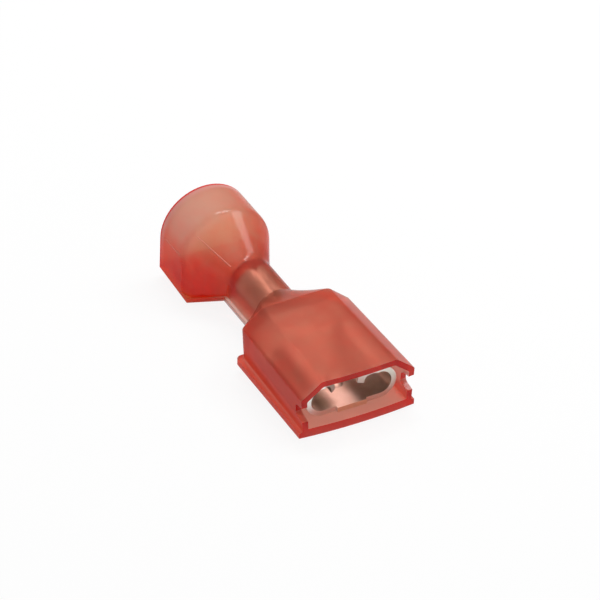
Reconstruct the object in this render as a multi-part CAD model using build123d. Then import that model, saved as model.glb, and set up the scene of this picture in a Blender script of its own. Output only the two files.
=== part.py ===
from build123d import *
import os
from math import asin, degrees, radians, tan

# A fully insulated female spade terminal: a rolled tinned-brass receptacle in a nylon housing.
# Millimetres. +Y runs from the mouth to the wire entry, +Z is up, the lowest face is at Z = 0.

# Flat blade that the receptacle takes
TAB_WIDTH = 6.35
TAB_THICKNESS = 0.8
TAB_SIDE_GAP = 0.1
TAB_TOP_GAP = 0.05

# Receptacle, stamped from one strip
SHEET = 0.4
ROLL_RADIUS = 1.37
ROLL_LENGTH = 5.4
ROLL_LEAD = 0.55
LEAD_REACH = 0.8
TONGUE_WIDTH = 2.4
TONGUE_LENGTH = 0.2
DIMPLE_RADIUS = 0.55
DIMPLE_HEIGHT = 0.15
DIMPLE_SETBACK = 2.4
BARREL_RADIUS = 1.3
BARREL_LENGTH = 3.7
SEAM_WIDTH = 0.06
SEAM_NOTCH = 0.3

# Fit of the receptacle in the housing
TERMINAL_SETBACK = 0.95
CAVITY_SIDE_GAP = 0.3
CAVITY_TOP_GAP = 0.75
TAPER_LEAD = 0.7
TAPER_GAP = 0.2
BORE_GAP = 0.03
SEAT_GAP = 0.05

# Housing lengths, from the mouth to the rim of the wire entry
FRONT_BOW = 0.25
BOX_LENGTH = 9.7
SHOULDER_ANGLE = 39
NECK_LENGTH = 4.6
CONE_LENGTH = 3.75
BELL_LENGTH = 3.67

# Housing section
BASE_THICKNESS = 0.7
SIDE_WALL = 0.45
ROOF_WALL = 0.47
WALL_LEAN = 0.2
BOX_DRAFT = 0.2
SHOULDER_RISE = 1.33
SHOULDER_INSET = 1.57
RIDGE_ROUND = 0.5
EAVE_ROUND = 0.25
REAR_ROUND = 0.4
FLANGE_LIP = 0.275
FLANGE_THICKNESS = 0.45
FLANGE_TAIL = 0.5
FLANGE_CORNER = 0.5
FLANGE_COVE = 0.22

# Side notches at the mouth
NOTCH_DEPTH = 1.0
NOTCH_LIP = 0.65
NOTCH_HOOK = 0.2
NOTCH_HEIGHT = 1.28
NOTCH_RAMP = 0.2
NOTCH_ROUND = 0.36

# Neck and wire entry
AXIS_HEIGHT = 1.6
NECK_RADIUS = 1.8
STRIP_LIP = 0.22
STRIP_THICKNESS = 0.35
BELL_RADIUS = 3.72
BELL_FOOT = 3.78
BELL_WALL = 0.38
BELL_EDGE_ROUND = 1.2
NECK_BLEND = 1.6
FOOT_DROP = 1.5
FOOT_HALF = 3.74
FOOT_LIP = 0.38
FOOT_LEAD = 0.93
SOLE_RISE = 0.4

# Heights above the lowest face
base = FOOT_DROP
axis = base + AXIS_HEIGHT
floor = base + BASE_THICKNESS
wall_bottom = base + FLANGE_THICKNESS / 2
floor_top = floor + SHEET
roll_axis = floor + ROLL_RADIUS
roof_inside = floor + 2 * ROLL_RADIUS + CAVITY_TOP_GAP
roof = roof_inside + ROOF_WALL
eave = roof - SHOULDER_RISE

# Half widths
receptacle_half = TAB_WIDTH / 2 + TAB_SIDE_GAP + SHEET
roll_centre = receptacle_half - ROLL_RADIUS
cavity_half = receptacle_half + CAVITY_SIDE_GAP
wall_foot = cavity_half + SIDE_WALL
eave_half = wall_foot + WALL_LEAN
ridge_half = eave_half - SHOULDER_INSET
flange_half = wall_foot + FLANGE_LIP
strip_half = NECK_RADIUS + STRIP_LIP
bore_radius = BARREL_RADIUS + BORE_GAP
barrel_inside = BARREL_RADIUS - SHEET

# Stations along Y
shoulder_length = (wall_foot - BOX_DRAFT - NECK_RADIUS) / tan(radians(SHOULDER_ANGLE))
length = FRONT_BOW + BOX_LENGTH + shoulder_length + NECK_LENGTH + CONE_LENGTH + BELL_LENGTH
mouth = FRONT_BOW - length / 2
box_end = mouth + BOX_LENGTH
neck_start = box_end + shoulder_length
cone_start = neck_start + NECK_LENGTH
bell_start = cone_start + CONE_LENGTH
foot_start = bell_start - FOOT_LEAD
rim = bell_start + BELL_LENGTH
terminal_front = mouth + TERMINAL_SETBACK
roll_end = terminal_front + ROLL_LENGTH
taper_start = box_end - TAPER_LEAD
barrel_front = neck_start
barrel_rear = barrel_front + BARREL_LENGTH
seat = barrel_rear + SEAT_GAP

# Angles where the neck's arch is divided to match the corners of the box
ARCH_BREAKS = (0, 12, 38, 52, 128, 142, 168, 180)


def station(y):
    """Upright section plane at y: its own x is +X and its own y is +Z."""
    return Plane((0, y, 0), x_dir=(1, 0, 0), z_dir=(0, -1, 0))


def run(section, start, end):
    """Section extruded along Y from start to end."""
    return extrude(station(start) * section, -(end - start))


def skin(*placed):
    """Straight-ruled solid through (y, section) pairs."""
    return loft([station(y) * section for y, section in placed], ruled=True)


def inset(points, depths):
    """Corners of an anticlockwise outline after each side moves inwards by its own depth."""
    sides = []
    for start, end, depth in zip(points, points[1:] + points[:1], depths):
        along = (Vector(*end) - Vector(*start)).normalized()
        sides.append((Vector(*start) + Vector(-along.Y, along.X) * depth, along))
    corners = []
    for (p, u), (q, v) in zip(sides[-1:] + sides[:-1], sides):
        gap = q - p
        reach = (gap.X * v.Y - gap.Y * v.X) / (u.X * v.Y - u.Y * v.X)
        corners.append((p.X + u.X * reach, p.Y + u.Y * reach))
    return corners


def outline(corners):
    """Closed straight-sided section."""
    return make_face(Polyline(*corners, close=True))


def box_section(wall=0, bottom=0, top=0):
    """House-shaped section of the box, moved inwards by a wall, a floor and a roof."""
    corners = [
        (-wall_foot, wall_bottom),
        (wall_foot, wall_bottom),
        (eave_half, eave),
        (ridge_half, roof),
        (-ridge_half, roof),
        (-eave_half, eave),
    ]
    face = outline(inset(corners, (bottom, wall, wall, top, wall, wall)))
    levels = face.vertices().group_by(Axis.Y)
    face = fillet(levels[-1], RIDGE_ROUND)
    middle = face.vertices().filter_by_position(Axis.Y, eave - SIDE_WALL, eave + EAVE_ROUND)
    outermost = middle.group_by(Axis.X)
    return fillet(outermost[0] + outermost[-1], EAVE_ROUND)


def arch(radius, foot, bottom, breaks=(0, 180)):
    """Round-topped, flat-bottomed section about the wire axis."""
    centre = (0, axis)
    arcs = [CenterArc(centre, radius, a, b - a) for a, b in zip(breaks, breaks[1:])]
    lines = [
        Line((-radius, axis), (-foot, bottom)),
        Line((-foot, bottom), (foot, bottom)),
        Line((foot, bottom), (radius, axis)),
    ]
    return make_face(Curve() + lines + arcs)


def slab(half, bottom, thickness):
    """Flat rectangular section of the base strip."""
    return Pos(0, bottom + thickness / 2) * Rectangle(2 * half, thickness)


def trough(half, foot, bottom):
    """Straight-sided section below the wire axis."""
    return outline([(-foot, bottom), (foot, bottom), (half, axis), (-half, axis)])


def sole(y):
    """Half width and height of the sole at y, between the front edge of the foot and the rim."""
    share = (y - foot_start) / (rim - foot_start)
    return FOOT_HALF + (BELL_FOOT - FOOT_HALF) * share, SOLE_RISE * share


def funnel(wall, start):
    """Wire entry from start to the rim, moved inwards by a wall: round above the axis, flat below."""
    slope = (BELL_RADIUS - NECK_RADIUS) / CONE_LENGTH
    mid_half = NECK_RADIUS + slope * (CONE_LENGTH - FOOT_LEAD) - wall
    neck_half = NECK_RADIUS - wall
    bell_half = BELL_RADIUS - wall
    edge_foot, edge_rise = sole(bell_start)
    neck_trough = trough(neck_half, neck_half, base + wall)
    sections = [
        (cone_start, neck_trough),
        (foot_start, trough(mid_half, FOOT_HALF - FOOT_LIP - wall, wall)),
        (bell_start, trough(bell_half, edge_foot - wall, edge_rise + wall)),
        (rim, trough(bell_half, BELL_FOOT - wall, SOLE_RISE + wall)),
    ]
    corners = [(start, 0), (rim, 0), (rim, bell_half), (bell_start, bell_half), (cone_start, neck_half)]
    rounds = [((bell_start, bell_half), BELL_EDGE_ROUND)]
    if start < cone_start:
        sections.insert(0, (start, neck_trough))
        corners.append((start, neck_half))
        rounds.append(((cone_start, neck_half), NECK_BLEND))
    profile = outline(corners)
    for corner, radius in rounds:
        profile = fillet(profile.vertices().sort_by_distance(corner)[0], radius)
    lying = Plane((0, 0, axis), x_dir=(0, 1, 0), z_dir=(0, 0, -1))
    upper = revolve(lying * profile, Axis((0, 0, axis), (0, -1, 0)), 180)
    return skin(*sections) + upper


def base_strip():
    """Thin base that runs under the neck and flares out with the cone."""
    edge_foot, edge_rise = sole(bell_start)
    return skin(
        (box_end, slab(strip_half, base, STRIP_THICKNESS)),
        (cone_start, slab(strip_half, base, STRIP_THICKNESS)),
        (foot_start, slab(FOOT_HALF, 0, STRIP_THICKNESS)),
        (bell_start, slab(edge_foot, edge_rise, STRIP_THICKNESS)),
    )


def flange():
    """Base plate of the box, with rounded rear corners, that narrows under the shoulders."""
    rear = box_end + FLANGE_TAIL
    tail_half = wall_foot - BOX_DRAFT - FLANGE_TAIL / 2
    plan = outline([
        (-flange_half, mouth - FRONT_BOW),
        (flange_half, mouth - FRONT_BOW),
        (flange_half, rear),
        (tail_half, rear),
        (strip_half, neck_start),
        (-strip_half, neck_start),
        (-tail_half, rear),
        (-flange_half, rear),
    ])
    across = plan.vertices().group_by(Axis.X)
    rounded = fillet([across[0].sort_by(Axis.Y)[-1], across[-1].sort_by(Axis.Y)[-1]], FLANGE_CORNER)
    plate = extrude(Pos(0, 0, base) * rounded, FLANGE_THICKNESS)
    top = base + FLANGE_THICKNESS
    cove = make_face(Curve() + [
        Line((wall_foot - SIDE_WALL / 2, top), (wall_foot + FLANGE_COVE, top)),
        CenterArc((wall_foot + FLANGE_COVE, top + FLANGE_COVE), FLANGE_COVE, 180, 90),
        Line((wall_foot, top + FLANGE_COVE), (wall_foot - SIDE_WALL / 2, top)),
    ])
    right = skin((mouth - FRONT_BOW, cove), (box_end, Pos(-BOX_DRAFT, 0) * cove))
    return plate + right + mirror(right, Plane.YZ)


def notches():
    """Cutter for the rounded notches that open both side walls at the mouth."""
    top = eave - NOTCH_LIP
    ahead = mouth - 2 * FRONT_BOW
    side = outline([
        (ahead, top - NOTCH_HEIGHT),
        (mouth, top - NOTCH_HEIGHT),
        (mouth + NOTCH_DEPTH, top - NOTCH_HEIGHT + NOTCH_RAMP),
        (mouth + NOTCH_DEPTH, top - NOTCH_HOOK),
        (mouth, top),
        (ahead, top),
    ])
    deep = side.vertices().group_by(Axis.X)[-1]
    side = fillet(deep, NOTCH_ROUND)
    return extrude(Plane.YZ * side, 2 * flange_half, both=True)


def ahead_of_front():
    """Cutter that bows the mouth's edge gently forwards."""
    bow = ThreePointArc((-flange_half, mouth), (0, mouth - FRONT_BOW), (flange_half, mouth))
    far = mouth - 4 * FRONT_BOW
    rest = Polyline((flange_half, mouth), (flange_half, far), (-flange_half, far), (-flange_half, mouth))
    return extrude(make_face(Curve() + [bow, rest]), 2 * roof)


def housing():
    """One nylon moulding: box with its flange, shoulders, neck and flared wire entry."""
    rear_section = box_section(BOX_DRAFT)
    box = skin((mouth - FRONT_BOW, box_section()), (box_end, rear_section))
    neck_arch = arch(NECK_RADIUS, NECK_RADIUS, wall_bottom, ARCH_BREAKS)
    box += skin((box_end, rear_section), (neck_start, neck_arch))
    corners = box.edges().filter_by_position(Axis.Y, box_end, box_end)
    box = fillet(corners.sort_by(Axis.Z)[1:], REAR_ROUND)
    body = box + flange() + funnel(0, neck_start) + base_strip()

    cavity_end = taper_start - TAPER_GAP
    cavity_draft = BOX_DRAFT * (cavity_end - mouth) / BOX_LENGTH
    floor_rise = floor - wall_bottom
    mouth_section = box_section(SIDE_WALL, floor_rise, ROOF_WALL)
    inner_section = box_section(SIDE_WALL + cavity_draft, floor_rise, ROOF_WALL)
    cavity = skin((mouth - FRONT_BOW, mouth_section), (cavity_end, inner_section))
    bore_arch = arch(bore_radius, bore_radius, axis - bore_radius, ARCH_BREAKS)
    throat = skin((cavity_end, inner_section), (neck_start + TAPER_GAP, bore_arch))
    bore = run(Pos(0, axis) * Circle(bore_radius), neck_start, seat)
    lead_in = run(Pos(0, axis) * Circle(barrel_inside), barrel_rear, cone_start)
    return body - cavity - throat - bore - lead_in - funnel(BELL_WALL, cone_start) - notches() - ahead_of_front()


def roll_section():
    """Flat floor with both edges rolled inwards over the blade."""
    tip_drop = roll_axis - (floor_top + TAB_THICKNESS + TAB_TOP_GAP)
    sweep = 270 + degrees(asin(tip_drop / ROLL_RADIUS))
    inner_radius = ROLL_RADIUS - SHEET
    outer = CenterArc((roll_centre, roll_axis), ROLL_RADIUS, -90, sweep)
    inner = CenterArc((roll_centre, roll_axis), inner_radius, -90, sweep)
    right = make_face(Curve() + [
        Line((0, floor), (roll_centre, floor)),
        outer,
        Line(outer @ 1, inner @ 1),
        inner,
        Line((roll_centre, floor_top), (0, floor_top)),
        Line((0, floor_top), (0, floor)),
    ])
    return right + mirror(right, Plane.YZ)


def channel(half, flat, bottom):
    """Open channel with rounded sides that reach up to the centre of their bends."""
    radius = half - flat
    centre = bottom + radius
    thin = radius - SHEET
    right = Curve() + [
        CenterArc((flat, centre), radius, 270, 90),
        Line((flat + radius, centre), (flat + thin, centre)),
        CenterArc((flat, centre), thin, 270, 90),
    ]
    left = Curve() + [
        CenterArc((-flat, centre), radius, 180, 90),
        Line((-flat - radius, centre), (-flat - thin, centre)),
        CenterArc((-flat, centre), thin, 180, 90),
    ]
    floors = Curve() + [
        Line((-flat, bottom), (flat, bottom)),
        Line((-flat, bottom + SHEET), (flat, bottom + SHEET)),
    ]
    return make_face(right + left + floors)


def barrel():
    """Wire barrel rolled to a butt seam on top, with nicked corners at both ends of the seam."""
    ring = Pos(0, axis) * (Circle(BARREL_RADIUS) - Circle(barrel_inside))
    tube = run(ring, barrel_front, barrel_rear)
    middle = (barrel_front + barrel_rear) / 2
    cut = Pos(0, middle) * Rectangle(SEAM_WIDTH, BARREL_LENGTH)
    for end, inwards in ((barrel_front, 1), (barrel_rear, -1)):
        cut += outline([(-SEAM_NOTCH, end), (SEAM_NOTCH, end), (0, end + inwards * 2 * SEAM_NOTCH)])
    return tube - extrude(Pos(0, 0, axis) * cut, BARREL_RADIUS)


def terminal():
    """One strip: tongue, floor with a detent dimple, rolled edges, tapering channel and barrel."""
    rolls = run(roll_section(), terminal_front, roll_end)
    far = roll_centre - ROLL_RADIUS + SHEET + LEAD_REACH
    lead = outline([
        (-far, terminal_front),
        (far, terminal_front),
        (0, terminal_front + ROLL_LEAD * far / LEAD_REACH),
    ])
    rolls -= extrude(Pos(0, 0, floor_top + TAB_THICKNESS / 2) * lead, 2 * ROLL_RADIUS)

    wide = channel(receptacle_half, roll_centre, floor)
    narrow = channel(BARREL_RADIUS, SEAM_WIDTH, axis - BARREL_RADIUS)
    taper = run(wide, roll_end, taper_start) + skin((taper_start, wide), (barrel_front, narrow))

    tongue_end = terminal_front - TONGUE_LENGTH
    tongue_plan = Pos(0, tongue_end + TONGUE_LENGTH) * Rectangle(TONGUE_WIDTH, 2 * TONGUE_LENGTH)
    tongue = extrude(Pos(0, 0, floor) * tongue_plan, SHEET)

    ball = (DIMPLE_RADIUS**2 + DIMPLE_HEIGHT**2) / (2 * DIMPLE_HEIGHT)
    dimple_at = terminal_front + DIMPLE_SETBACK
    rise = Pos(0, dimple_at, floor_top + DIMPLE_HEIGHT - ball) * Sphere(ball)
    rise &= Pos(0, dimple_at, floor_top) * Box(2 * DIMPLE_RADIUS, 2 * DIMPLE_RADIUS, 2 * DIMPLE_HEIGHT)
    hollow = Pos(0, dimple_at, floor + DIMPLE_HEIGHT - ball) * Sphere(ball)
    return rolls + taper + barrel() + tongue + rise - hollow


os.makedirs("parts", exist_ok=True)
for name, solid in (("housing", housing()), ("terminal", terminal())):
    export_step(solid, f"parts/{name}.step")
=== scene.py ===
"""Looks of an insulated female spade terminal: finishes, mould lines, floor, lamps and camera."""
import logging
import math
from dataclasses import dataclass
from enum import Enum, IntEnum
from typing import Any

import bpy
from mathutils import Matrix, Vector


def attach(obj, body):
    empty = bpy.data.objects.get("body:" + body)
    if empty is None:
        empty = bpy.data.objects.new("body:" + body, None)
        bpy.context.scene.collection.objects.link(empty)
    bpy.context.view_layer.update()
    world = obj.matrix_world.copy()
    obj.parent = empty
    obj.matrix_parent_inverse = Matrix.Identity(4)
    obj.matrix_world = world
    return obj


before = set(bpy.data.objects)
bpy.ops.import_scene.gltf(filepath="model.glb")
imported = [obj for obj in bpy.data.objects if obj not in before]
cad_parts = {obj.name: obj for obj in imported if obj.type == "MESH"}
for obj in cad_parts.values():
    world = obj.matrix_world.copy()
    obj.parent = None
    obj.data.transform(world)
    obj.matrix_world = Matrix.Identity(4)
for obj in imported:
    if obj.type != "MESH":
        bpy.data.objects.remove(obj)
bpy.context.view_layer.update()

LOG = logging.getLogger("spade_terminal")
MM = 0.001

Colour = tuple[float, float, float]
Point = tuple[float, float, float]
Span = tuple[float, float]
Node = bpy.types.Node
Socket = bpy.types.NodeSocket
Sockets = bpy.types.NodeOutputs

WHITE: Colour = (1.0, 1.0, 1.0)
WHOLE: Span = (0.0, 1.0)


class Slot(Enum):
    """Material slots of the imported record."""

    NYLON = "nylon"
    TIN = "tinned_brass"


class MixSocket(IntEnum):
    """Places of the colour sockets on a mix node, which has others for numbers and vectors."""

    FACTOR = 0
    FIRST = 6
    SECOND = 7
    RESULT = 2


def opaque(colour: Colour) -> tuple[float, float, float, float]:
    """Colour with full alpha, as node sockets take it."""
    return (*colour, 1.0)


class Graph:
    """A node tree under construction."""

    NOISE_SPAN: Span = (0.3, 0.7)

    def __init__(self, tree: bpy.types.NodeTree) -> None:
        """Starts from an empty tree.

        Args:
            tree: The tree to fill.
        """
        self.tree = tree
        tree.nodes.clear()

    def add(
        self, kind: str, inputs: dict[str | int, Any] | None = None, **settings: Any
    ) -> Node:
        """Adds a node, with links for inputs that are sockets and values for the others.

        Args:
            kind: Type name of the node.
            inputs: What goes into its sockets, by socket name or index.
            settings: Values of the node's own properties.

        Returns:
            The new node.
        """
        node = self.tree.nodes.new(kind)
        for name, value in settings.items():
            setattr(node, name, value)
        for name, value in (inputs or {}).items():
            if isinstance(value, Socket):
                self.tree.links.new(value, node.inputs[name])
            else:
                node.inputs[name].default_value = value
        return node

    def parts(self, vector: Socket) -> Sockets:
        """Splits a vector into X, Y and Z."""
        return self.add("ShaderNodeSeparateXYZ", {"Vector": vector}).outputs

    def maths(self, operation: str, *terms: Socket | float, clamp: bool = False) -> Socket:
        """Works out one step of arithmetic.

        Args:
            operation: Name of the step.
            terms: What it works on.
            clamp: Whether the answer is kept between 0 and 1.

        Returns:
            The answer.
        """
        inputs = dict(enumerate(terms))
        node = self.add("ShaderNodeMath", inputs, operation=operation, use_clamp=clamp)
        return node.outputs[0]

    def ramp(
        self, value: Socket, span: Span, low: Socket | float = 0.0, high: Socket | float = 1.0
    ) -> Socket:
        """Makes a value that changes evenly over a span and is level outside it.

        Args:
            value: What the span is measured in.
            span: Where the change starts and ends.
            low: Result at the start.
            high: Result at the end.

        Returns:
            The result.
        """
        start, end = span
        limits = {"From Min": start, "From Max": end, "To Min": low, "To Max": high}
        return self.add("ShaderNodeMapRange", {"Value": value, **limits}).outputs["Result"]

    def noise(self, where: Socket, scale: float, detail: float) -> Socket:
        """Adds smooth noise.

        Args:
            where: Coordinates that it reads.
            scale: Cells in a metre.
            detail: Octaves of finer noise.

        Returns:
            The noise's value, about 0.5 on average.
        """
        inputs = {"Vector": where, "Scale": scale, "Detail": detail}
        return self.add("ShaderNodeTexNoise", inputs).outputs["Fac"]

    def spread(self, noise: Socket, low: float = 0.0, high: float = 1.0) -> Socket:
        """Maps the usual run of noise onto a range.

        Args:
            noise: Noise about 0.5.
            low: Result where the noise is low.
            high: Result where the noise is high.

        Returns:
            The mapped value.
        """
        return self.ramp(noise, self.NOISE_SPAN, low, high)

    def blend(self, share: Socket, first: Socket | Colour, second: Socket | Colour) -> Socket:
        """Mixes two colours.

        Args:
            share: Share of the second colour.
            first: Colour at 0.
            second: Colour at 1.

        Returns:
            The mixed colour.
        """
        ends = [end if isinstance(end, Socket) else opaque(end) for end in (first, second)]
        inputs = {MixSocket.FACTOR: share, MixSocket.FIRST: ends[0], MixSocket.SECOND: ends[1]}
        return self.add("ShaderNodeMix", inputs, data_type="RGBA").outputs[MixSocket.RESULT]

    def mix(self, share: Socket | float, first: Node, second: Node) -> Node:
        """Mixes two shaders.

        Args:
            share: Share of the second shader.
            first: Shader at 0.
            second: Shader at 1.

        Returns:
            The mixed shader.
        """
        inputs = {0: share, 1: first.outputs[0], 2: second.outputs[0]}
        return self.add("ShaderNodeMixShader", inputs)

    def bump(self, height: Socket, distance: float) -> Socket:
        """Makes a surface uneven.

        Args:
            height: How far each point stands out, from 0 to 1.
            distance: What 1 comes to, in metres.

        Returns:
            The normal of the uneven surface.
        """
        inputs = {"Height": height, "Distance": distance, "Strength": 1.0}
        return self.add("ShaderNodeBump", inputs).outputs["Normal"]


def start_material(name: str) -> tuple[bpy.types.Material, Graph]:
    """Makes a material.

    Args:
        name: Name of the material.

    Returns:
        The material, and its tree with nothing in it yet.
    """
    made = bpy.data.materials.new(name)
    made.use_nodes = True
    return made, Graph(made.node_tree)


@dataclass(frozen=True)
class NylonFinish:
    """Translucent red nylon: a glossy skin over walls that are part cloudy and part clear."""

    # Cloudy part: upright faces, level faces paler as painted light from above, a painted pale
    # band of light along the upper rim, and cut ends
    deep: Colour = (0.98, 0.05, 0.03)
    # The pale colour is painted light: faces that look up take it, as if lit from above, and on
    # the box less of it
    pale: Colour = (0.80, 0.30, 0.19)
    # Painted light: a pale band along the upper rim, fading towards the floor
    rim_light_colour: Colour = (0.85, 0.48, 0.42)
    cut_colour: Colour = (0.92, 0.055, 0.045)
    box_painted_top_light: float = 0.6
    cloud_scale: float = 900.0
    cloud_detail: float = 3.0
    cloud_share: float = 0.2

    # Clear part: what each face leaves of the light through it
    flange_tint: Colour = (1.0, 0.48, 0.43)
    roof_tint: Colour = (1.0, 0.96, 0.95)
    cone_tint: Colour = (0.97, 0.78, 0.62)
    bell_tint: Colour = (0.95, 0.97, 0.92)
    # Deeper red low down: partly the thicker nylon of the foot, partly painted shade of the
    # shadowed floor beneath
    foot_depth_and_shade_tint: Colour = (1.0, 0.4, 0.2)
    cut_tint: Colour = (0.95, 0.16, 0.13)
    frost_share: float = 0.62
    frost_roughness: float = 0.62
    frost_index: float = 1.35

    # Share of the clear part
    box_clearness: float = 0.74
    neck_clearness: float = 0.9
    bell_clearness: float = 0.6
    # Less clear along the painted pale band of the rim
    rim_light_clearness: float = 0.45

    # Red that grows with the depth of nylon
    depth_tint: Colour = (0.985, 0.35, 0.12)
    density: float = 1300.0

    # Skin: shares that it mirrors face on and at a slant, and its grain
    skin_share: float = 0.025
    skin_slant_share: float = 0.7
    skin_steepness: float = 8.0
    skin_roughness: float = 0.17
    slant_blend: float = 0.5
    grain_scale: float = 7000.0
    grain_detail: float = 2.0
    grain_height: float = 0.0002 * MM

    # Where the finish changes: from the middle out to the flange, up, and along the wire's axis
    flange_run: Span = (4.0 * MM, 4.2 * MM)
    wall_rise: Span = (2.4 * MM, 3.4 * MM)
    foot_fall: Span = (4.7 * MM, 0.8 * MM)
    shoulder_run: Span = (-2.5 * MM, 0.5 * MM)
    cone_run: Span = (4.6 * MM, 7.0 * MM)
    bell_run: Span = (8.0 * MM, 9.5 * MM)
    # Where the painted pale band of the rim runs
    rim_light_run: Span = (11.75 * MM, 12.1 * MM)
    edge_run: Span = (12.27 * MM, 12.39 * MM)
    cut_facing: Span = (0.9, 0.97)

    def painted_top_light_and_clouds(self, graph: Graph, place: Sockets, where: Sockets) -> Socket:
        """Share of the pale colour, painted light on faces that look up: none on upright faces,
        most on level ones, with faint clouds.

        Args:
            graph: Tree that uses the answer.
            place: Outputs of its texture coordinates.
            where: Object coordinates, one by one.

        Returns:
            The share.
        """
        facing = graph.parts(place["Normal"])
        most = graph.ramp(where["Y"], self.shoulder_run, self.box_painted_top_light)
        clouds = graph.noise(place["Object"], self.cloud_scale, self.cloud_detail)
        drift = graph.spread(clouds, -self.cloud_share, self.cloud_share)
        return graph.maths("MULTIPLY_ADD", facing["Z"], most, drift, clamp=True)

    def cut(self, graph: Graph, normal: Socket, where: Sockets) -> Socket:
        """Picks out the ends, where one looks along a wall and its red is deepest.

        Args:
            graph: Tree that uses the answer.
            normal: Object normal.
            where: Object coordinates, one by one.

        Returns:
            1 on faces across the wire's axis and along the rim's edge, and 0 on others.
        """
        across = graph.maths("ABSOLUTE", graph.parts(normal)["Y"])
        ends = graph.ramp(across, self.cut_facing)
        return graph.maths("MAXIMUM", ends, graph.ramp(where["Y"], self.edge_run))

    def tint(self, graph: Graph, where: Sockets) -> Socket:
        """Colour that a wall leaves of the light through it.

        Args:
            graph: Tree that uses the answer.
            where: Object coordinates, one by one.

        Returns:
            The colour, which changes along the housing, and with the height on box and bell; low
            on cone and bell it is deeper red, partly for thicker nylon and partly as painted
            shade of the floor beneath.
        """
        aside = graph.maths("ABSOLUTE", where["X"])
        base = graph.blend(graph.ramp(aside, self.flange_run), WHITE, self.flange_tint)
        box = graph.blend(graph.ramp(where["Z"], self.wall_rise), base, self.roof_tint)
        front = graph.blend(graph.ramp(where["Y"], self.shoulder_run), box, WHITE)
        thin = graph.blend(graph.ramp(where["Y"], self.bell_run), self.cone_tint, self.bell_tint)
        # Partly painted shade: deeper red towards the floor, for the shadowed floor seen through
        # the nylon
        rear = graph.blend(graph.ramp(where["Z"], self.foot_fall), thin, self.foot_depth_and_shade_tint)
        return graph.blend(graph.ramp(where["Y"], self.cone_run), front, rear)

    def walls(self, graph: Graph, place: Sockets) -> Node:
        """Makes the nylon under the skin.

        Args:
            graph: Tree that takes it.
            place: Outputs of its texture coordinates.

        Returns:
            The shader.
        """
        where = graph.parts(place["Object"])
        cut = self.cut(graph, place["Normal"], where)
        # Painted light: a pale, cloudier band along the upper rim, fading towards the floor
        rim_light = graph.ramp(where["Z"], self.foot_fall, graph.ramp(where["Y"], self.rim_light_run), 0.0)
        # Painted light: faces that look up turn pale, as if lit from above
        top_lit_colour = graph.blend(self.painted_top_light_and_clouds(graph, place, where), self.deep, self.pale)
        rim_lit = graph.blend(rim_light, top_lit_colour, self.rim_light_colour)
        colour = graph.blend(cut, rim_lit, self.cut_colour)
        cloudy = graph.add("ShaderNodeBsdfDiffuse", {"Color": colour})

        tint = graph.blend(cut, self.tint(graph, where), self.cut_tint)
        blur = {"Color": tint, "Roughness": self.frost_roughness, "IOR": self.frost_index}
        frost = graph.add("ShaderNodeBsdfRefraction", blur)
        glass = graph.add("ShaderNodeBsdfTransparent", {"Color": tint})
        clear = graph.mix(self.frost_share, glass, frost)

        ahead = graph.ramp(where["Y"], self.shoulder_run, self.box_clearness, self.neck_clearness)
        behind = graph.ramp(rim_light, WHOLE, self.bell_clearness, self.rim_light_clearness)
        clearness = graph.ramp(where["Y"], self.cone_run, ahead, behind)
        return graph.mix(clearness, cloudy, clear)

    def mirror(self, graph: Graph) -> Socket:
        """Share of light that the skin mirrors: little face on, and most at a slant.

        Args:
            graph: Tree that uses the answer.

        Returns:
            The share.
        """
        slant = graph.add("ShaderNodeLayerWeight", {"Blend": self.slant_blend}).outputs["Facing"]
        steep = graph.maths("POWER", slant, self.skin_steepness)
        return graph.maths("MULTIPLY_ADD", steep, self.skin_slant_share, self.skin_share)

    def material(self, name: str) -> bpy.types.Material:
        """Builds the finish.

        Args:
            name: Name of the material.

        Returns:
            The new material.
        """
        made, graph = start_material(name)
        place = graph.add("ShaderNodeTexCoord").outputs
        grain = graph.noise(place["Object"], self.grain_scale, self.grain_detail)
        uneven = graph.bump(grain, self.grain_height)
        gloss = {"Roughness": self.skin_roughness, "Normal": uneven}
        skin = graph.add("ShaderNodeBsdfGlossy", gloss)
        shader = graph.mix(self.mirror(graph), self.walls(graph, place), skin)
        depth = {"Color": opaque(self.depth_tint), "Density": self.density}
        inside = graph.add("ShaderNodeVolumeAbsorption", depth)
        outputs = {"Surface": shader.outputs[0], "Volume": inside.outputs["Volume"]}
        graph.add("ShaderNodeOutputMaterial", outputs)
        return made


@dataclass(frozen=True)
class TinFinish:
    """Bright tin on brass strip, drawn along its length, with bare brass where it was cut off."""

    bright: Colour = (0.90, 0.90, 0.86)
    dull: Colour = (0.66, 0.63, 0.55)
    brass: Colour = (0.80, 0.70, 0.52)
    cut_place: float = -11.475 * MM
    patch_scale: float = 500.0
    patch_detail: float = 4.0
    drawn_scale: float = 5000.0
    drawn_detail: float = 3.0
    drawn_stretch: float = 0.05
    drawn_height: float = 0.00002 * MM
    smoothest: float = 0.36
    roughest: float = 0.46

    def material(self, name: str) -> bpy.types.Material:
        """Builds the finish.

        Args:
            name: Name of the material.

        Returns:
            The new material.
        """
        made, graph = start_material(name)
        where = graph.add("ShaderNodeTexCoord").outputs["Object"]
        stretch = {"Vector": where, "Scale": (1.0, self.drawn_stretch, 1.0)}
        along = graph.add("ShaderNodeMapping", stretch).outputs["Vector"]
        drawn = graph.noise(along, self.drawn_scale, self.drawn_detail)
        patches = graph.spread(graph.noise(where, self.patch_scale, self.patch_detail))
        tin = graph.blend(patches, self.bright, self.dull)
        cut = graph.maths("LESS_THAN", graph.parts(where)["Y"], self.cut_place)
        metal = {
            "Base Color": graph.blend(cut, tin, self.brass),
            "Metallic": 1.0,
            "Roughness": graph.spread(drawn, self.smoothest, self.roughest),
            "Normal": graph.bump(drawn, self.drawn_height),
        }
        shader = graph.add("ShaderNodeBsdfPrincipled", metal)
        graph.add("ShaderNodeOutputMaterial", {"Surface": shader.outputs["BSDF"]})
        return made


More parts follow.
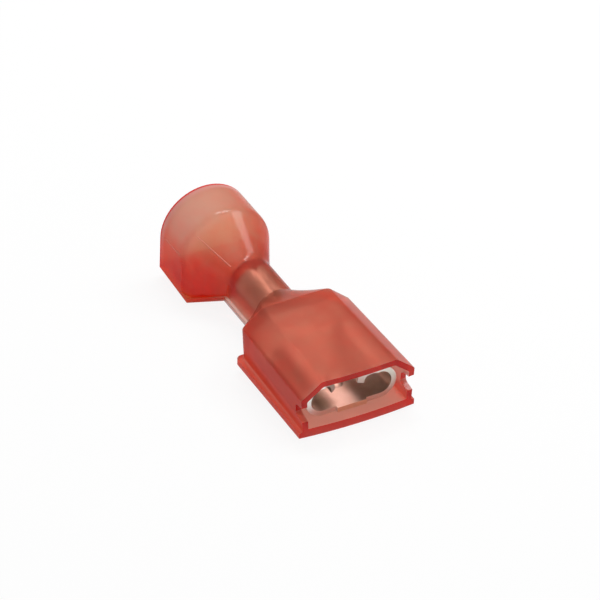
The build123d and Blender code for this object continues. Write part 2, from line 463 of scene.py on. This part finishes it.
@dataclass(frozen=True)
class FlashFinish:
    """Thin cloudy nylon of the raised mould lines."""

    pale: Colour = (0.80, 0.33, 0.25)
    rich: Colour = (0.72, 0.24, 0.17)
    cloud_scale: float = 900.0
    cloud_detail: float = 2.0
    roughness: float = 0.45

    def material(self, name: str) -> bpy.types.Material:
        """Builds the finish.

        Args:
            name: Name of the material.

        Returns:
            The new material.
        """
        made, graph = start_material(name)
        where = graph.add("ShaderNodeTexCoord").outputs["Object"]
        clouds = graph.spread(graph.noise(where, self.cloud_scale, self.cloud_detail))
        colour = graph.blend(clouds, self.pale, self.rich)
        flash = {"Base Color": colour, "Roughness": self.roughness}
        shader = graph.add("ShaderNodeBsdfPrincipled", flash)
        graph.add("ShaderNodeOutputMaterial", {"Surface": shader.outputs["BSDF"]})
        return made


@dataclass
class CadPiece:
    """A solid carried over from the CAD model."""

    node: str
    slot: Slot
    finish: NylonFinish | TinFinish

    def dress(self) -> bpy.types.Object:
        """Gives the solid its finish.

        Returns:
            The solid's object.
        """
        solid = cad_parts[self.node]
        made = self.finish.material(f"{self.node}_finish")
        for place in solid.material_slots:
            place.material = made
        LOG.info("%s in %s: %d faces", self.node, self.slot.value, len(solid.data.polygons))
        return solid


@dataclass(frozen=True)
class MouldLine:
    """A straight line on the left of a round wall.

    Its angle is measured up from the level of the wire's axis, in degrees. Each end has its place
    along that axis and its distance from it.
    """

    angle: float
    start: tuple[float, float]
    end: tuple[float, float]


@dataclass
class MouldLines:
    """Fine raised lines that the mould leaves along the cone and the bell."""

    finish: FlashFinish
    cone: MouldLine = MouldLine(42.0, (5.2 * MM, 1.9 * MM), (8.42 * MM, 3.515 * MM))
    bell: MouldLine = MouldLine(7.0, (9.2 * MM, 3.71 * MM), (11.7 * MM, 3.71 * MM))
    axis_height: float = 3.1 * MM
    bead: float = 0.03 * MM
    sides: int = 8

    def around(self, line: MouldLine, end: tuple[float, float]) -> Vector:
        """Point at one end of a line.

        Args:
            line: The line.
            end: Its start or its end.

        Returns:
            The point, in metres.
        """
        turn = math.radians(line.angle)
        y, radius = end
        x = -radius * math.cos(turn)
        return Vector((x, y, self.axis_height + radius * math.sin(turn)))

    def paths(self) -> bpy.types.Object:
        """Makes one straight edge for each line.

        Returns:
            An object that holds the edges.
        """
        lines = (self.cone, self.bell)
        points = [self.around(line, end) for line in lines for end in (line.start, line.end)]
        edges = [(2 * i, 2 * i + 1) for i in range(len(lines))]
        mesh = bpy.data.meshes.new("mould_line_paths")
        mesh.from_pydata(points, edges, [])
        held = bpy.data.objects.new("mould_line_paths", mesh)
        bpy.context.scene.collection.objects.link(held)
        return held

    def tree(self) -> bpy.types.NodeTree:
        """Builds the node tree that lays a bead along each edge.

        Returns:
            The tree, with inputs for the bead's radius and material.
        """
        tree = bpy.data.node_groups.new("mould_bead", "GeometryNodeTree")
        sockets = (
            ("Geometry", "INPUT", "NodeSocketGeometry"),
            ("Radius", "INPUT", "NodeSocketFloat"),
            ("Material", "INPUT", "NodeSocketMaterial"),
            ("Geometry", "OUTPUT", "NodeSocketGeometry"),
        )
        for name, way, kind in sockets:
            tree.interface.new_socket(name, in_out=way, socket_type=kind)
        graph = Graph(tree)
        given = graph.add("NodeGroupInput").outputs
        curve = graph.add("GeometryNodeMeshToCurve", {"Mesh": given["Geometry"]})
        round_bead = {"Resolution": self.sides, "Radius": given["Radius"]}
        ring = graph.add("GeometryNodeCurvePrimitiveCircle", round_bead)
        swept = {"Curve": curve.outputs[0], "Profile Curve": ring.outputs[0], "Fill Caps": True}
        bead = graph.add("GeometryNodeCurveToMesh", swept)
        real = graph.add("GeometryNodeRealizeInstances", {"Geometry": bead.outputs[0]})
        dressed = {"Geometry": real.outputs[0], "Material": given["Material"]}
        done = graph.add("GeometryNodeSetMaterial", dressed)
        graph.add("NodeGroupOutput", {"Geometry": done.outputs[0]})
        return tree

    def build(self) -> bpy.types.Object:
        """Makes the beads as a plain mesh that rides with the terminal.

        Returns:
            The finished piece.
        """
        held = self.paths()
        tree = self.tree()
        values = {"Radius": self.bead, "Material": self.finish.material("mould_line_finish")}
        modifier = held.modifiers.new("bead", "NODES")
        modifier.node_group = tree
        for item in tree.interface.items_tree:
            if item.in_out == "INPUT" and item.name in values:
                modifier[item.identifier] = values[item.name]
        evaluated = held.evaluated_get(bpy.context.evaluated_depsgraph_get())
        mesh = bpy.data.meshes.new_from_object(evaluated)
        mesh.name = "mould_lines"
        piece = bpy.data.objects.new("mould_lines", mesh)
        bpy.data.objects.remove(held)
        bpy.context.scene.collection.objects.link(piece)
        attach(piece, "root")
        LOG.info("mould_lines: %d faces", len(mesh.polygons))
        return piece


@dataclass(frozen=True)
class Lamp:
    """A rectangular soft lamp, whose radiance is 1 where its face is as bright as white paper."""

    name: str
    towards: Point
    width: float
    height: float
    radiance: float

    def build(self, distance: float) -> bpy.types.Object:
        """Hangs the lamp so that it faces the object.

        Args:
            distance: How far it is from the object, in metres.

        Returns:
            The lamp.
        """
        data = bpy.data.lights.new(self.name, "AREA")
        data.shape = "RECTANGLE"
        data.size = self.width
        data.size_y = self.height
        data.energy = self.radiance * math.pi * self.width * self.height
        held = bpy.data.objects.new(self.name, data)
        way = Vector(self.towards).normalized()
        held.location = way * distance
        held.rotation_mode = "QUATERNION"
        held.rotation_quaternion = way.to_track_quat("Z", "Y")
        held.visible_camera = False
        bpy.context.scene.collection.objects.link(held)
        return held


@dataclass
class Studio:
    """White floor and surround, and the lamps."""

    floor_side: float = 2.0
    foot_y: float = 7.88 * MM
    mouth_y: float = -12.3 * MM
    mouth_rise: float = 1.5 * MM
    floor_gap: float = 0.01 * MM
    floor_glow: float = 0.88
    floor_colour: Colour = (0.97, 0.97, 0.97)
    surround_light: float = 0.45
    side_lamp: Lamp = Lamp("side_lamp", (0.63, 0.045, 0.772), 0.09, 0.09, 6.0)
    top_lamp: Lamp = Lamp("top_lamp", (0.24, 0.4, 0.88), 0.13, 0.06, 10.5)
    lamp_distance: float = 0.25

    def seen(self, graph: Graph) -> Socket:
        """Tells what looks at a surface from what it lights.

        Args:
            graph: Tree that uses the answer.

        Returns:
            1 for camera, glossy and transmission rays, and 0 for others.
        """
        path = graph.add("ShaderNodeLightPath").outputs
        direct = graph.maths("MAXIMUM", path["Is Camera Ray"], path["Is Glossy Ray"])
        return graph.maths("MAXIMUM", direct, path["Is Transmission Ray"])

    def floor(self) -> bpy.types.Object:
        """Lays the floor under the foot of the bell and the front of the box.

        Returns:
            The floor.
        """
        half = self.floor_side / 2
        tilt = math.atan2(self.mouth_rise, self.foot_y - self.mouth_y)
        turn = Matrix.Rotation(-tilt, 4, "X")
        middle = Vector((0.0, self.foot_y, -self.floor_gap))
        square = ((-half, -half), (half, -half), (half, half), (-half, half))
        corners = [middle + turn @ Vector((x, y, 0.0)) for x, y in square]
        mesh = bpy.data.meshes.new("floor")
        mesh.from_pydata(corners, [], [(0, 1, 2, 3)])
        plane = bpy.data.objects.new("floor", mesh)
        bpy.context.scene.collection.objects.link(plane)
        made, graph = start_material("floor_finish")
        glow = graph.maths("MULTIPLY", self.seen(graph), self.floor_glow)
        matt = graph.add("ShaderNodeBsdfDiffuse", {"Color": opaque(self.floor_colour)})
        white = graph.add("ShaderNodeEmission", {"Strength": 1.0})
        mixed = graph.mix(glow, matt, white)
        graph.add("ShaderNodeOutputMaterial", {"Surface": mixed.outputs[0]})
        mesh.materials.append(made)
        return plane

    def surround(self) -> None:
        """Makes the world a soft, even light on the object."""
        world = bpy.data.worlds.new("surround")
        world.use_nodes = True
        bpy.context.scene.world = world
        graph = Graph(world.node_tree)
        sky = {"Color": opaque(WHITE), "Strength": self.surround_light}
        light = graph.add("ShaderNodeBackground", sky)
        graph.add("ShaderNodeOutputWorld", {"Surface": light.outputs[0]})

    def build(self) -> None:
        """Sets up floor, surround and lamps."""
        self.floor()
        self.surround()
        for lamp in (self.side_lamp, self.top_lamp):
            lamp.build(self.lamp_distance)
        LOG.info("studio: floor, surround and lamps")


@dataclass
class PhotoCamera:
    """Camera at the photograph's place: a long lens, above and to the left of the mouth."""

    target: Point = (1.957 * MM, 0.432 * MM, 3.35 * MM)
    azimuth: float = -28.523
    elevation: float = 36.246
    roll: float = 1.483
    distance: float = 287.04 * MM
    focal_pixels: float = 3860.9
    image_side: int = 600
    sensor_width: float = 36.0
    nearest: float = 0.01
    farthest: float = 10.0

    def build(self) -> bpy.types.Object:
        """Places the camera and makes it the scene's own.

        Returns:
            The camera.
        """
        data = bpy.data.cameras.new("photo_camera")
        data.sensor_width = self.sensor_width
        data.lens = self.focal_pixels * self.sensor_width / self.image_side
        data.clip_start = self.nearest
        data.clip_end = self.farthest
        held = bpy.data.objects.new("photo_camera", data)
        around = math.radians(self.azimuth)
        up = math.radians(self.elevation)
        level = math.cos(up)
        back = Vector((math.sin(around) * level, -math.cos(around) * level, math.sin(up)))
        upright = back.to_track_quat("Z", "Y").to_matrix().to_4x4()
        turned = upright @ Matrix.Rotation(math.radians(self.roll), 4, "Z")
        place = Vector(self.target) + back * self.distance
        held.matrix_world = Matrix.Translation(place) @ turned
        bpy.context.scene.collection.objects.link(held)
        bpy.context.scene.camera = held
        LOG.info("camera: lens %.1f mm", data.lens)
        return held


def main() -> None:
    """Builds and dresses every piece in order."""
    logging.basicConfig(level=logging.INFO, format="%(message)s")
    bpy.context.scene.view_settings.view_transform = "Standard"
    PhotoCamera().build()
    Studio().build()
    CadPiece("housing", Slot.NYLON, NylonFinish()).dress()
    CadPiece("terminal", Slot.TIN, TinFinish()).dress()
    MouldLines(FlashFinish()).build()


if __name__ == "__main__":
    main()
